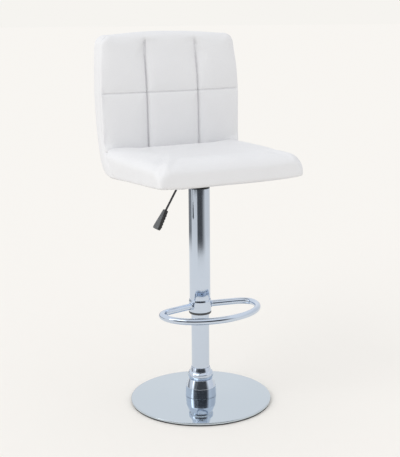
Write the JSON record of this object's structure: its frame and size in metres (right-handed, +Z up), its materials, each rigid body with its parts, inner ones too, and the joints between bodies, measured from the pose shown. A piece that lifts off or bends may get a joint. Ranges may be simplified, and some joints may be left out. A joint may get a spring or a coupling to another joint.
{
  "type": "adjustable swivel stool",
  "caption": "Height-adjustable swivel stool with a padded L-shaped seat, gas column, footrest ring and round base.",
  "frame": {"origin": "on the floor, on the column's axis", "axes": "+Z up along the column, the sitter faces -Y, +X to the sitter's left"},
  "size_m": [0.415, 0.4105, 0.995],
  "materials": {
    "chrome": "polished",
    "steel": "zinc plated",
    "black_steel": "satin black",
    "black_plastic": "fine textured",
    "pale_plastic": "satin",
    "rubber": "matt",
    "plywood": "bare",
    "white_leather": "soft grained, semi-matt",
    "white_padding": "foam under soft grained, semi-matt synthetic leather"
  },
  "bodies": {
    "base": {"floor_pad": "rubber", "base_plate": "chrome", "base_weight": "steel", "hub_socket": "steel", "base_bell": "chrome", "collar_ring": "chrome", "lower_column": "chrome", "guide_bush": "pale_plastic", "thrust_washer": "steel", "thrust_bearing": "steel"},
    "piston": {"piston_rod": "steel", "piston_head": "black_plastic", "rod_washer": "steel", "rod_clip": "steel", "rubber_buffer": "rubber"},
    "seat": {"gas_cylinder": "black_steel", "rod_gland": "pale_plastic", "upper_column": "chrome", "column_bushing": "black_plastic", "column_cap": "black_plastic", "footrest": "chrome", "seat_plate": "black_steel", "taper_socket": "black_steel", "lever_bracket": "black_steel", "seat_washer_1": "steel", "seat_screw_1": "steel", "tee_nut_1": "steel", "seat_washer_2": "steel", "seat_screw_2": "steel", "tee_nut_2": "steel", "seat_washer_3": "steel", "seat_screw_3": "steel", "tee_nut_3": "steel", "seat_washer_4": "steel", "seat_screw_4": "steel", "tee_nut_4": "steel", "outer_cover": "white_leather", "plywood_shell": "plywood", "seat_cushion": "white_padding", "back_cushion": "white_padding"},
    "lever": {"lever_pivot_block": "black_plastic", "lever_wire": "black_steel", "lever_handle": "black_plastic"},
    "release_pin": {"release_pin": "steel"}
  },
  "joints": [
    {"name": "seat_swivel", "type": "hinge", "parent": "base", "child": "piston", "pos_m": [0, 0, 0], "axis": [0, 0, 1], "continuous": true},
    {"name": "seat_lift", "type": "slide", "parent": "piston", "child": "seat", "axis": [0, 0, 1], "range_m": [-0.09, 0.12]},
    {"name": "lever_lift", "type": "hinge", "parent": "seat", "child": "lever", "pos_m": [-0.03, 0, 0.6102], "axis": [0, 1, 0], "range_deg": [0, 6]},
    {"name": "release_press", "type": "slide", "parent": "seat", "child": "release_pin", "axis": [0, 0, -1], "range_m": [0, 0.0035], "stiffness_N_per_m": 400, "springref_m": -0.001}
  ],
  "couplings": [
    {"joint": "release_press", "follows": "lever_lift", "m_per_rad": 0.033}
  ]
}
